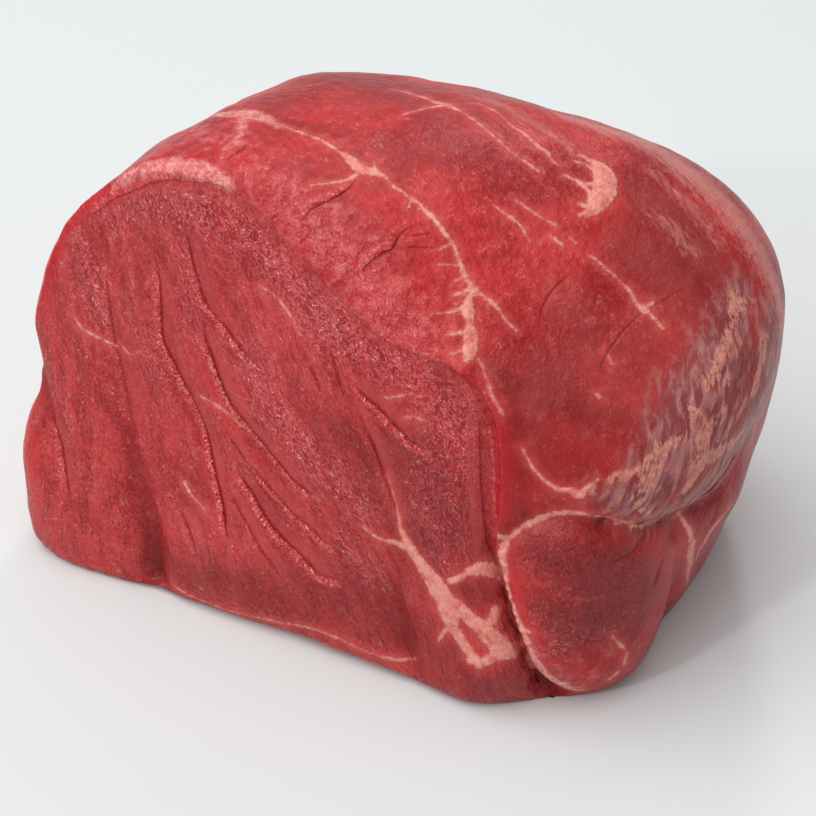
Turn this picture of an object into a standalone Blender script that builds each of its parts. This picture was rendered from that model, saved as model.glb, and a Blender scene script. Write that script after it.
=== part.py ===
"""Raw beef roasting joint: one boneless piece of muscle, cut flat across the grain at the front."""

import math

import bmesh
import bpy
import numpy as np
from mathutils import Vector
from mathutils.bvhtree import BVHTree

# Driving dimensions, in metres. The cut face looks along -Y and the joint's length runs along X.
LENGTH = 0.190
DEPTH = 0.138
HEIGHT = 0.122

# From here on lengths are in millimetres, in the part's own frame, and turn into metres at the very end.
MM = 0.001

# The middle of the joint, from which the reach of every side is measured.
MIDDLE = np.array([3.5, -4.5, 50.0])

# The muscle's sides: compass azimuth (0 is the front, 90 is +X), elevation, and distance from the middle.
MUSCLE_SIDES = {
    "back": (180, 8, 67),
    "right": (90, -11, 88),
    "left": (270, 2, 97.5),
    "crown": (0, 90, 72.5),
    "crown_right": (80, 42, 102),
    "crown_left": (262, 46, 91),
    "crown_back": (180, 52, 80),
    "crown_front_right": (34, 48, 64),
    "crown_front_left": (318, 44, 107),
    "crown_back_right": (125, 38, 102),
    "back_right": (130, -4, 94),
    "back_left": (230, 8, 85),
    "front_right": (46, -12, 81.5),
    "front_left": (318, -2, 110),
}
# Flatter faces with a tighter edge: where the knife went, the trimmed lower edge, and what lies on the table.
CUT_SIDES = {
    "cut_face": (0, 15, 48),
    "cut_foot": (0, -35, 79),
    "underside": (0, -90, 50.5),
}
MUSCLE_ROUNDING = 10
CUT_ROUNDING = 28

# Swellings of the flesh: place, radius and height.
SWELLINGS = {
    "corner_lobe": ((70.7, -51.3, 19.0), 24, 5.6),
    "corner_foot": ((77.0, -43.0, 8.0), 21, 6.0),
    "right_flap": ((90.0, -6.0, 40.0), 15, 3.0),
    "left_foot": ((-70.0, -62.0, 14.0), 20, 4.5),
    "left_flank": ((-87.0, -58.0, 30.0), 16, 1.5),
    "cut_bulge": ((7.5, -54.5, 56.0), 48, 3.2),
    "front_hollow": ((12.0, -67.0, 6.0), 24, -2.4),
    "front_foot": ((52.0, -64.0, 5.0), 12, 1.5),
    "far_right_hollow": ((60.0, 28.0, 113.0), 26, -3.2),
    "far_left_hollow": ((-36.0, 14.0, 118.5), 24, -1.8),
}

# Drawing views, in which the creases and rims are drawn: where the eye looks, and the two axes of the drawing.
VIEWS = {
    "front": (Vector((0, 1, 0)), 0, 2),
    "right": (Vector((-1, 0, 0)), 1, 2),
    "left": (Vector((1, 0, 0)), 1, 2),
    "top": (Vector((0, 0, -1)), 0, 1),
}

# Creases: the view, the drawn path, the depths from its start to its end, and how fast the crease closes.
CREASES = {
    "left_lobe": ("front", [(-68, 92), (-64, 70), (-59, 52), (-54, 35), (-48, 19), (-46, 3)], (0.6, 2.2, 5.5), 3.2),
    "left_foot": ("front", [(-90, 54), (-85, 47), (-81, 38), (-75, 27), (-72, 20)], (2.4, 1.6, 0.0), 3.0),
    "left_notch": ("left", [(-52, 45), (-36, 47), (-18, 46), (2, 42), (20, 35)], (2.6, 2.2, 0.0), 4.5),
    "grain_left": ("front", [(-52, 94), (-48, 80), (-44, 66), (-37, 54), (-30, 40), (-24, 27)], (0.0, 1.5, 0.0), 2.6),
    "grain_middle": ("front", [(-36, 74), (-29, 62), (-18, 54), (-8, 47), (6, 41)], (0.0, 1.8, 0.0), 2.6),
    "grain_low": ("front", [(-27, 54), (-16, 42), (-6, 32), (6, 25)], (0.0, 1.3, 0.0), 2.4),
    "grain_right": ("front", [(4, 82), (9, 72), (15, 62), (21, 51), (25, 38), (26, 24), (31, 8)], (0.0, 1.0, 2.4), 2.8),
    "ridge_groove": ("front", [(42, 76), (45, 60), (47, 46), (51, 36), (57, 25), (62, 15), (66, 2)], (1.5, 2.4, 6.0), 2.6),
    "corner_top": ("front", [(57, 25), (52, 36), (51, 48), (56, 55), (66, 58), (75, 57)], (1.0, 2.2, 2.4), 2.2),
    "corner_side": ("right", [(-50, 57), (-42, 53), (-31, 51), (-21, 50), (-13, 53), (-6, 60)], (2.4, 3.0, 0.5), 2.6),
    "flap_edge": ("right", [(-36, 50), (-30, 38), (-24, 24), (-21, 10), (-20, 3)], (0.4, 1.6, 2.8), 3.0),
    "back_seam": ("top", [(-58, 40), (-30, 52), (4, 52), (36, 44), (62, 26)], (0.0, 1.2, 0.0), 4.0),
}

# Raised rims: the view, the drawn path, the height, how far the rim rolls outwards, and how steeply it ends inside.
RIMS = {
    "cut_rim": (
        "front",
        [(-88, 66), (-83, 86), (-73, 102), (-58, 112), (-42, 115.5), (-28, 114), (-12, 105), (12, 91.5), (34, 88)],
        1.5,
        4.5,
        0.9,
    ),
    "right_ridge": (
        "front",
        [(34, 88), (41, 84), (46, 77), (49, 66), (50, 56), (50, 47)],
        2.3,
        3.6,
        1.0,
    ),
}

# Long, shallow unevenness of the flesh: the turn and tilt of each wave, its length and its height.
WAVES = [(20, 10, 61, 0.35), (100, -25, 47, 0.3), (160, 40, 39, 0.25), (65, 60, 29, 0.2), (130, 5, 23, 0.15)]

# Creases don't close tighter than this at their bottom.
CREASE_FLOOR = 0.9

BALL_CUTS = 15
# Near a crease or rim the mesh is cut finer, once for each of these distances.
FINE_REACHES = (11.0, 2.8)
# The edge round the underside is cut finer too, up to this height.
FOOT_HEIGHT = 6.0
PATH_STEP = 2.0


def towards(azimuth, elevation):
    """The unit vector of a compass azimuth and an elevation, in degrees."""
    turn = math.radians(azimuth)
    rise = math.radians(elevation)
    flat = math.cos(rise)
    return np.array([math.sin(turn) * flat, -math.cos(turn) * flat, math.sin(rise)])


def closeness(directions, sides, sharpness, start=None):
    """One over the reach of a body with these sides. The lower the sharpness, the rounder its edges."""
    total = np.zeros(len(directions)) if start is None else start**sharpness
    for azimuth, elevation, distance in sides:
        total += np.maximum(directions @ towards(azimuth, elevation) / distance, 0) ** sharpness
    return total ** (1 / sharpness)


def fit_to_size(points):
    """Scales and moves the points so that they fill the driving dimensions and rest on z = 0."""
    low = points.min(axis=0)
    high = points.max(axis=0)
    size = np.array([LENGTH, DEPTH, HEIGHT]) / MM
    start = size * (-0.5, -0.5, 0)
    return start + (points - low) / (high - low) * size


def smooth_form(directions):
    """Points on the smooth form of the joint, one for each direction from its middle."""
    near = closeness(directions, MUSCLE_SIDES.values(), MUSCLE_ROUNDING)
    for side in CUT_SIDES.values():
        near = closeness(directions, [side], CUT_ROUNDING, near)
    points = MIDDLE + directions / near[:, None]
    for place, radius, height in SWELLINGS.values():
        away = ((points - place) ** 2).sum(axis=1)
        points += directions * (height * np.exp(-away / radius**2))[:, None]
    points[:, 2] = np.maximum(points[:, 2], 0)
    return fit_to_size(points)


def make_ball(cuts):
    """A cube of side 2, cut into an even grid on each face."""
    mesh = bmesh.new()
    bmesh.ops.create_cube(mesh, size=2)
    bmesh.ops.subdivide_edges(mesh, edges=mesh.edges[:], cuts=cuts, use_grid_fill=True)
    return mesh


def evened_out(places):
    """Turns places on the cube into directions that are spread evenly over the ball."""
    evened = np.tan(places * math.pi / 4)
    return evened / np.linalg.norm(evened, axis=1)[:, None]


def ball_directions(mesh):
    """The directions of a cut cube's vertices."""
    return evened_out(np.array([vertex.co for vertex in mesh.verts]))


def place_points(mesh, points):
    for vertex, point in zip(mesh.verts, points):
        vertex.co = point
    mesh.normal_update()


def curve_through(corners):
    """A smooth curve through the corners, as points about one path step apart."""
    corners = np.array(corners, dtype=float)
    before = np.vstack([2 * corners[0] - corners[1], corners[:-1]])
    after = np.vstack([corners[1:], 2 * corners[-1] - corners[-2]])
    slopes = (after - before) / 2
    pieces = []
    for start, end, leave, arrive in zip(corners[:-1], corners[1:], slopes[:-1], slopes[1:]):
        count = max(2, round(np.linalg.norm(end - start) / PATH_STEP))
        t = np.linspace(0, 1, count, endpoint=False)[:, None]
        ease = t * t * (3 - 2 * t)
        bend = leave * t * (1 - t) ** 2 - arrive * t * t * (1 - t)
        pieces.append(start + (end - start) * ease + bend)
    pieces.append(corners[-1:])
    return np.vstack(pieces)


def draw_on(tree, view, corners):
    """Lays a path that is drawn in a view on the form."""
    look, across, up = VIEWS[view]
    laid = []
    for first, second in curve_through(corners):
        origin = look * -500
        origin[across] = first
        origin[up] = second
        hit = tree.ray_cast(origin, look)[0]
        if hit is not None:
            laid.append(hit)
    return np.array(laid)


def nearest_on(path, points):
    """For each point the index of the nearest place on the path, and the way there."""
    gaps = points[:, None, :] - path[None, :, :]
    index = (gaps**2).sum(axis=2).argmin(axis=1)
    return index, points - path[index]


def crease_depths(path, points, depths, width):
    """How far the points near a crease sink in. Its walls meet in a sharp line."""
    index, gap = nearest_on(path, points)
    depth = np.interp(index / (len(path) - 1), np.linspace(0, 1, len(depths)), depths)
    away = np.hypot(np.linalg.norm(gap, axis=1), CREASE_FLOOR) - CREASE_FLOOR
    return depth * np.exp(-away / width)


def rim_heights(path, points, normals, height, roll, drop):
    """How far the points near a rim rise: steeply on the cut side, slowly rolling off on the other."""
    index, gap = nearest_on(path, points)
    along = np.gradient(path, axis=0)[index]
    outwards = np.cross(normals, along)
    outwards /= np.maximum(np.linalg.norm(outwards, axis=1), 1e-9)[:, None]
    side = (gap * outwards).sum(axis=1)
    past_end = np.sqrt(np.maximum((gap**2).sum(axis=1) - side**2, 0))
    inside = np.exp(np.minimum(side, 0) / drop)
    outside = np.exp(-((np.maximum(side, 0) / roll) ** 2))
    return height * inside * outside * np.exp(-((past_end / roll) ** 2))


def wave_heights(points):
    """Long, shallow unevenness, the same at every run."""
    total = np.zeros(len(points))
    for number, (turn, tilt, length, height) in enumerate(WAVES):
        total += height * np.sin(points @ towards(turn, tilt) * 2 * math.pi / length + number)
    return total


def lay_paths(mesh):
    """The creases' and rims' paths, laid on the smooth form."""
    tree = BVHTree.FromBMesh(mesh)
    creases = {name: draw_on(tree, crease[0], crease[1]) for name, crease in CREASES.items()}
    rims = {name: draw_on(tree, rim[0], rim[1]) for name, rim in RIMS.items()}
    return creases, rims


def cut_finer(mesh, paths, reach):
    """Cuts the faces near the paths once more. The mesh is still the cut cube here."""
    middles = np.array([face.calc_center_median() for face in mesh.faces])
    points = smooth_form(evened_out(middles))
    gap = nearest_on(np.vstack(paths), points)[1]
    near = (np.linalg.norm(gap, axis=1) < reach) & (points[:, 2] > 0.1)
    if reach == FINE_REACHES[0]:
        near |= (points[:, 2] > 0.1) & (points[:, 2] < FOOT_HEIGHT)
    edges = set()
    for face, is_near in zip(mesh.faces, near):
        if is_near:
            edges.update(face.edges)
    bmesh.ops.subdivide_edges(mesh, edges=list(edges), cuts=1, use_grid_fill=True)
    mesh.verts.index_update()


def add_relief(points, normals, creases, rims):
    """Presses the creases in and raises the rims, along the form's own normals."""
    height = wave_heights(points)
    for name, path in creases.items():
        depths, width = CREASES[name][2:]
        height -= crease_depths(path, points, depths, width)
    for name, path in rims.items():
        height += rim_heights(path, points, normals, *RIMS[name][2:])
    flat_underneath = np.clip(points[:, 2] / 3, 0, 1)
    return points + normals * (height * flat_underneath)[:, None]


def beef_colour():
    """Deep red raw flesh, moist but not wet."""
    material = bpy.data.materials.new("raw_beef")
    material.use_nodes = True
    shader = material.node_tree.nodes["Principled BSDF"]
    shader.inputs["Base Color"].default_value = (0.42, 0.035, 0.035, 1)
    shader.inputs["Roughness"].default_value = 0.42
    shader.inputs["Metallic"].default_value = 0.0
    return material


def make_joint():
    """The whole joint as one closed mesh."""
    form = make_ball(60)
    place_points(form, smooth_form(ball_directions(form)))
    creases, rims = lay_paths(form)
    form.free()
    mesh = make_ball(BALL_CUTS)
    for reach in FINE_REACHES:
        cut_finer(mesh, list(creases.values()) + list(rims.values()), reach)
    points = smooth_form(ball_directions(mesh))
    place_points(mesh, points)
    normals = np.array([vertex.normal for vertex in mesh.verts])
    points = add_relief(points, normals, creases, rims)
    points[:, 2] = np.maximum(points[:, 2], 0)
    place_points(mesh, fit_to_size(points) * MM)
    bmesh.ops.triangulate(mesh, faces=mesh.faces[:])
    return mesh


def main():
    for old in list(bpy.data.objects):
        bpy.data.objects.remove(old)
    mesh = make_joint()
    data = bpy.data.meshes.new("beef_joint")
    mesh.to_mesh(data)
    mesh.free()
    data.shade_smooth()
    data.materials.append(beef_colour())
    joint = bpy.data.objects.new("beef_joint", data)
    collection = bpy.data.collections.new("roast_beef_joint")
    bpy.context.scene.collection.children.link(collection)
    collection.objects.link(joint)


main()
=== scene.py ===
"""Looks of the raw beef roasting joint: its flesh, grain, fat seams and membrane, on the joint's own form."""

import math

import bmesh
import bpy
import numpy as np
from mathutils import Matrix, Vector, noise
from mathutils.bvhtree import BVHTree
from mathutils.kdtree import KDTree


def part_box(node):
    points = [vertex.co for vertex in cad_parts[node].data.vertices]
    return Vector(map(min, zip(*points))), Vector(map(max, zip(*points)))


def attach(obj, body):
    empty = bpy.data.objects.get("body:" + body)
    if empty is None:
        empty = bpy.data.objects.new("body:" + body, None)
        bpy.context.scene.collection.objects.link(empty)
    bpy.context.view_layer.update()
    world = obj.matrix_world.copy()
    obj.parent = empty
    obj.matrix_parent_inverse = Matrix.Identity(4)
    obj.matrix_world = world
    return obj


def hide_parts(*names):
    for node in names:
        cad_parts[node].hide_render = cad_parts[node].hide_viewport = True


# Lengths are in millimetres until the finished mesh is turned into metres.
MM = 0.001

# The photographer's eye: compass azimuth (0 is the front, 90 is +X), elevation, distance, and its target.
EYE_AZIMUTH = 27
EYE_ELEVATION = 37
EYE_DISTANCE = 512.0
EYE_TARGET = np.array([3.5, -14.5, 44.0])
LENS = 85.0
SENSOR = 36.0
PICTURE = 816

# The form of the joint, with the same values as its solid. The middle is where every side's reach starts.
MIDDLE = np.array([3.5, -4.5, 50.0])

# The muscle's sides: compass azimuth, elevation, and distance from the middle.
MUSCLE_SIDES = {
    "back": (180, 8, 67),
    "right": (90, -11, 88),
    "left": (270, 2, 97.5),
    "crown": (0, 90, 72.5),
    "crown_right": (80, 42, 102),
    "crown_left": (262, 46, 91),
    "crown_back": (180, 52, 80),
    "crown_front_right": (34, 48, 64),
    "crown_front_left": (318, 44, 107),
    "crown_back_right": (125, 38, 102),
    "back_right": (130, -4, 94),
    "back_left": (230, 8, 85),
    "front_right": (46, -12, 81.5),
    "front_left": (318, -2, 110),
}
# Flatter faces with a tighter edge.
CUT_SIDES = {
    "cut_face": (0, 15, 48),
    "cut_foot": (0, -35, 79),
    "underside": (0, -90, 50.5),
}
MUSCLE_ROUNDING = 10
CUT_ROUNDING = 28

# Swellings of the flesh: place, radius and height.
SWELLINGS = {
    "corner_lobe": ((70.7, -51.3, 19.0), 24, 5.6),
    "corner_foot": ((77.0, -43.0, 8.0), 21, 6.0),
    "right_flap": ((90.0, -6.0, 40.0), 15, 3.0),
    "left_foot": ((-70.0, -62.0, 14.0), 20, 4.5),
    "left_flank": ((-87.0, -58.0, 30.0), 16, 1.5),
    "cut_bulge": ((7.5, -54.5, 56.0), 48, 3.2),
    "front_hollow": ((12.0, -67.0, 6.0), 24, -2.4),
    "front_foot": ((52.0, -64.0, 5.0), 12, 1.5),
    "far_right_hollow": ((60.0, 28.0, 113.0), 26, -3.2),
    "far_left_hollow": ((-36.0, 14.0, 118.5), 24, -1.8),
}

# Long, shallow unevenness of the flesh: the turn and tilt of each wave, its length and its height.
WAVES = [(20, 10, 61, 0.35), (100, -25, 47, 0.3), (160, 40, 39, 0.25), (65, 60, 29, 0.2), (130, 5, 23, 0.15)]

# Drawing views: where the eye looks, and the drawing's two axes. The view "picture" is the photographer's.
VIEWS = {
    "front": (Vector((0, 1, 0)), 0, 2),
    "back": (Vector((0, -1, 0)), 0, 2),
    "right": (Vector((-1, 0, 0)), 1, 2),
    "left": (Vector((1, 0, 0)), 1, 2),
    "top": (Vector((0, 0, -1)), 0, 1),
}

# How far in front of the form a drawing view's eye is.
VIEW_DISTANCE = 500

# The solid's creases: the view, the path, the depths from start to end, and how fast the crease closes.
CREASES = {
    "left_lobe": (
        "front", [(-68, 92), (-64, 70), (-59, 52), (-54, 35), (-48, 19), (-46, 3)], (0.6, 2.2, 5.5), 3.2,
    ),
    "left_foot": ("front", [(-90, 54), (-85, 47), (-81, 38), (-75, 27), (-72, 20)], (2.4, 1.6, 0.0), 3.0),
    "left_notch": ("left", [(-52, 45), (-36, 47), (-18, 46), (2, 42), (20, 35)], (2.6, 2.2, 0.0), 4.5),
    "grain_left": (
        "front", [(-52, 94), (-48, 80), (-44, 66), (-37, 54), (-30, 40), (-24, 27)], (0.0, 1.5, 0.0), 2.6,
    ),
    "grain_middle": ("front", [(-36, 74), (-29, 62), (-18, 54), (-8, 47), (6, 41)], (0.0, 1.8, 0.0), 2.6),
    "grain_low": ("front", [(-27, 54), (-16, 42), (-6, 32), (6, 25)], (0.0, 1.3, 0.0), 2.4),
    "grain_right": (
        "front", [(4, 82), (9, 72), (15, 62), (21, 51), (25, 38), (26, 24), (31, 8)], (0.0, 1.0, 2.4), 2.8,
    ),
    "ridge_groove": (
        "front", [(42, 76), (45, 60), (47, 46), (51, 36), (57, 25), (62, 15), (66, 2)], (1.5, 2.4, 6.0), 2.6,
    ),
    "corner_top": (
        "front", [(57, 25), (52, 36), (51, 48), (56, 55), (66, 58), (75, 57)], (1.0, 2.2, 2.4), 2.2,
    ),
    "corner_side": (
        "right", [(-50, 57), (-42, 53), (-31, 51), (-21, 50), (-13, 53), (-6, 60)], (2.4, 3.0, 0.5), 2.6,
    ),
    "flap_edge": ("right", [(-36, 50), (-30, 38), (-24, 24), (-21, 10), (-20, 3)], (0.4, 1.6, 2.8), 3.0),
    "back_seam": ("top", [(-58, 40), (-30, 52), (4, 52), (36, 44), (62, 26)], (0.0, 1.2, 0.0), 4.0),
}
# A crease's bottom is rounded over this many millimetres. Creases and rims end this many widths away.
CREASE_FLOOR = 0.9
CREASE_SPREAD = 6
RIM_SPREAD = 3

# The solid's rims: the view, the path, the height, how far the rim rolls out, and how steeply it ends inside.
RIMS = {
    "cut_rim": (
        "front",
        [(-88, 66), (-83, 86), (-73, 102), (-58, 112), (-42, 115.5), (-28, 114), (-12, 105), (12, 91.5),
         (34, 88)],
        1.5, 4.5, 0.9,
    ),
    "right_ridge": (
        "front",
        [(34, 88), (41, 84), (46, 77), (49, 66), (50, 56), (50, 47)],
        2.3, 3.6, 1.0,
    ),
}

# The share of each rim's height that is kept where the flesh is lumpy too.
RIM_SHARES = {"cut_rim": 0.7, "right_ridge": 1.0}

# The share of the soft folds' depth that is cut into the flesh, and how much painted shade they and the seams
# put on it.
CRACK_DEPTH = 0.5
CRACK_SHADE = 1.4
LINE_SHADE = 0.6
LINE_SHADE_WIDTH = 0.9

# Soft folds, too small for the solid: as the creases, in the picture.
CRACKS = {
    "groove_1": ([(187, 228), (197, 275), (214, 314), (240, 346)], (0.1, 0.4, 0.1), 1.6),
    "groove_2": (
        [(210, 350), (224, 392), (243, 420), (268, 450), (293, 478), (318, 500)], (0.1, 0.6, 0.1), 1.8,
    ),
    "groove_3": (
        [(162, 300), (170, 355), (190, 400), (207, 446), (221, 495), (230, 536)], (0.1, 0.6, 0.1), 2.0,
    ),
    "groove_5": ([(244, 482), (260, 510), (280, 537), (300, 556), (330, 578)], (0.1, 0.6, 0.1), 1.7),
    "groove_8": ([(338, 350), (350, 385), (364, 426), (380, 465), (395, 505)], (0.1, 0.6, 0.2), 1.8),
    "groove_9": ([(352, 379), (370, 398), (392, 419), (412, 438)], (0.1, 0.5, 0.1), 1.5),
    "crown_1": (
        [(357, 177), (345, 188), (330, 196), (318, 201), (309, 208), (304, 218)], (0.2, 0.9, 0.2), 1.8,
    ),
    "crown_2": (
        [(412, 218), (402, 232), (394, 245), (380, 253), (369, 262), (364, 272)], (0.2, 1.2, 0.2), 2.0,
    ),
    "crown_3": ([(374, 236), (366, 248), (356, 258), (348, 268)], (0.1, 0.7, 0.1), 1.6),
    "crown_4": ([(246, 147), (240, 154), (232, 160)], (0.0, 0.8, 0.0), 1.0),
    "side_1": ([(655, 306), (634, 318), (611, 342), (605, 362)], (0.0, 0.5, 0.0), 2.0),
    "lobe_1": ([(600, 566), (620, 559), (634, 553), (652, 535), (668, 522)], (0.0, 0.9, 0.3), 1.2),
    "lobe_2": ([(665, 556), (660, 572), (652, 590)], (0.0, 0.8, 0.0), 1.0),
    "lobe_gap": (
        [(489, 540), (494, 568), (498, 590), (503, 612), (510, 634), (520, 655), (541, 692)],
        (0.8, 3.4, 2.4), 0.9,
    ),
    "flap_1": ([(742, 452), (732, 472), (716, 492), (700, 508), (688, 520)], (0.8, 2.2, 1.0), 1.3),
    "flap_2": ([(680, 520), (676, 536), (680, 552)], (0.6, 1.2, 0.0), 1.0),
    "flap_3": ([(720, 500), (716, 516), (702, 530)], (0.2, 1.0, 0.2), 0.9),
    "foot_1": ([(50, 415), (56, 436), (62, 456), (68, 480)], (0.4, 1.2, 0.2), 1.2),
    "foot_lip": (
        [(182, 594), (215, 609), (275, 625), (320, 633), (370, 655), (412, 668)], (0.2, 1.0, 0.6), 0.8,
    ),
}

# The widths and strengths of the drawn places below are written in tenths.
TENTHS = 10

# Seams, in the picture: places with the strength of the dark line, painted shade in the groove, and of the
# ruffled cord on its left.
SEAMS = {
    "grooves": [
        [(262, 372, 2, 0), (240, 346, 7, 9), (228, 330, 8, 10), (214, 314, 6, 10), (203, 297, 9, 8),
         (197, 275, 10, 4), (192, 258, 10, 2), (189, 240, 8, 1), (186, 224, 3, 0)],
        [(318, 499, 5, 6), (305, 488, 9, 8), (293, 477, 10, 9), (280, 463, 10, 9), (268, 450, 9, 8),
         (254, 433, 9, 9), (243, 419, 9, 10), (232, 405, 9, 10), (224, 390, 10, 10), (217, 370, 10, 10),
         (212, 354, 10, 9), (206, 338, 7, 5), (202, 322, 2, 2)],
        [(232, 542, 3, 2), (228, 530, 8, 7), (225, 510, 10, 9), (221, 495, 10, 10), (216, 480, 10, 10),
         (211, 462, 10, 10), (207, 446, 10, 9), (203, 430, 9, 8), (198, 417, 8, 7), (190, 400, 7, 8),
         (180, 380, 6, 9), (170, 355, 6, 9), (164, 338, 7, 8), (162, 318, 9, 6), (161, 298, 9, 6),
         (159, 275, 8, 6), (156, 256, 4, 4)],
        [(250, 470, 2, 1), (241, 456, 8, 3), (232, 441, 9, 3), (226, 431, 7, 2)],
        [(346, 582, 3, 5), (322, 576, 6, 8), (310, 566, 8, 9), (300, 556, 8, 9), (290, 547, 9, 8),
         (280, 537, 9, 9), (268, 522, 9, 10), (260, 509, 10, 10), (252, 494, 10, 10), (244, 482, 9, 9),
         (236, 470, 4, 6)],
        [(338, 549, 3, 5), (325, 541, 6, 8), (314, 529, 7, 9), (303, 520, 7, 10), (292, 512, 8, 9),
         (280, 499, 8, 8), (266, 484, 8, 9), (256, 473, 6, 9), (250, 462, 2, 4)],
        [(285, 585, 2, 0), (275, 566, 7, 1), (262, 548, 9, 1), (243, 515, 9, 1), (228, 488, 2, 0)],
        [(401, 526, 7, 0), (395, 505, 9, 2), (388, 487, 9, 2), (380, 465, 9, 2), (372, 442, 9, 2),
         (364, 426, 6, 1), (356, 405, 4, 0), (343, 385, 7, 0), (338, 368, 7, 0), (333, 350, 3, 0)],
        [(438, 452, 3, 4), (424, 446, 5, 6), (412, 438, 7, 8), (402, 428, 8, 8), (392, 419, 9, 8),
         (382, 409, 9, 9), (370, 398, 9, 9), (360, 388, 9, 5), (352, 379, 5, 2)],
        [(197, 562, 4, 1), (195, 546, 8, 2), (190, 531, 9, 2), (183, 516, 9, 2), (177, 504, 4, 0)],
        [(330, 402, 3, 0), (321, 386, 6, 0), (315, 371, 8, 1), (307, 353, 6, 0), (303, 340, 2, 0)],
        [(300, 366, 5, 0), (293, 352, 8, 0), (288, 338, 3, 0)],
    ],
    "pillow": [
        [(128, 430, 4, 3), (124, 405, 5, 3), (118, 370, 6, 4), (113, 345, 6, 5), (110, 325, 6, 5),
         (108, 300, 5, 4), (106, 280, 3, 2)],
    ],
    "under_lip": [
        [(86, 212, 2, 4), (98, 207, 5, 5), (110, 197, 5, 5), (122, 192, 5, 5), (138, 186, 5, 5),
         (150, 181, 5, 5), (170, 177, 5, 5), (190, 178, 5, 5), (210, 180, 4, 5), (224, 184, 3, 4),
         (236, 190, 2, 2), (246, 197, 1, 1)],
    ],
    "beads": [
        [(503, 536, 1, 2), (499, 500, 2, 4), (497, 455, 2, 4), (495, 436, 2, 4), (483, 402, 2, 4),
         (466, 370, 1, 3)],
    ],
    "ridge": [
        [(476, 404, 4, 0), (480, 420, 7, 0), (481, 445, 9, 0), (481, 470, 10, 0), (483, 500, 10, 0),
         (485, 525, 10, 0), (487, 545, 10, 0), (491, 562, 10, 0), (496, 580, 10, 0), (499, 605, 10, 0),
         (504, 628, 10, 0), (514, 645, 10, 0), (526, 658, 9, 0), (529, 672, 9, 0), (537, 690, 9, 0)],
    ],
    "crown": [
        [(303, 224, 2, 2), (304, 216, 4, 5), (311, 206, 5, 6), (320, 200, 5, 6), (330, 195, 5, 6),
         (345, 187, 5, 6), (355, 178, 3, 4), (358, 172, 1, 2)],
        [(362, 274, 2, 3), (367, 264, 4, 6), (380, 253, 6, 7), (394, 245, 6, 7), (400, 234, 5, 6),
         (408, 226, 4, 4), (420, 222, 2, 2)],
        [(404, 232, 2, 0), (416, 232, 5, 0), (428, 231, 5, 0), (442, 229, 2, 0)],
        [(400, 246, 3, 0), (415, 244, 6, 0), (430, 245, 6, 0), (446, 244, 2, 0)],
        [(222, 160, 3, 2), (232, 152, 8, 3), (243, 145, 9, 3), (250, 138, 6, 2)],
        [(276, 146, 3, 0), (284, 140, 7, 1), (290, 134, 6, 1)],
    ],
    "shoulder": [[(328, 268, 2, 0), (337, 282, 5, 0), (345, 296, 5, 0), (352, 303, 2, 0)]],
    "facet": [
        [(541, 322, 3, 0), (546, 302, 5, 0), (556, 286, 7, 0), (566, 277, 5, 0), (574, 268, 2, 0)],
        [(598, 374, 2, 0), (606, 358, 5, 1), (613, 346, 6, 2), (622, 333, 6, 2), (634, 320, 4, 1),
         (648, 308, 3, 0), (668, 297, 4, 0), (682, 288, 3, 0), (694, 286, 1, 0)],
    ],
    "lobe": [
        [(600, 566, 3, 0), (620, 559, 8, 0), (634, 553, 7, 0), (642, 545, 8, 0), (652, 535, 8, 0),
         (662, 527, 9, 0), (672, 525, 6, 0)],
        [(665, 552, 4, 0), (662, 565, 8, 0), (657, 578, 7, 0), (650, 592, 3, 0)],
        [(515, 580, 3, 0), (524, 588, 8, 0), (536, 592, 5, 0)],
    ],
    "flap": [
        [(746, 450, 6, 3), (738, 462, 9, 5), (728, 478, 10, 6), (716, 493, 10, 6), (704, 502, 10, 5),
         (690, 513, 9, 3), (680, 522, 8, 2), (676, 535, 4, 0)],
    ],
    "foot": [[(70, 500, 3, 2), (66, 480, 7, 5), (62, 460, 9, 7), (57, 440, 9, 8), (50, 420, 7, 5)]],
}
# How far from its path a seam's places reach, and over what length its ends fade, in millimetres.
SEAM_REACH = 5.0
SEAM_FADE = 3.0
# The heights of a seam's parts.
OVERLAP_HEIGHT = 0.3
CORD_HEIGHT = 0.4
GROOVE_DEPTH = 0.2

# Rows of small beads, in the picture: the path, the height, the width and the spacing of the beads.
BEADS = {
    "ridge": (
        [(466, 370), (474, 384), (484, 402), (492, 420), (497, 440), (499, 470), (500, 500), (502, 530)],
        0.4, 2.2, 3.2,
    ),
    "lip": (
        [(84, 207), (98, 194), (112, 184), (130, 174), (150, 167), (172, 165), (195, 166), (213, 171),
         (228, 181)],
        0.5, 1.6, 2.1,
    ),
    "foot_bead": ([(176, 588), (196, 598), (216, 605), (240, 613), (262, 618)], 0.3, 0.7, 2.0),
    "lobe_bead": ([(503, 556), (504, 590), (511, 614), (520, 638), (534, 658)], 0.6, 1.6, 3.0),
}

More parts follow.
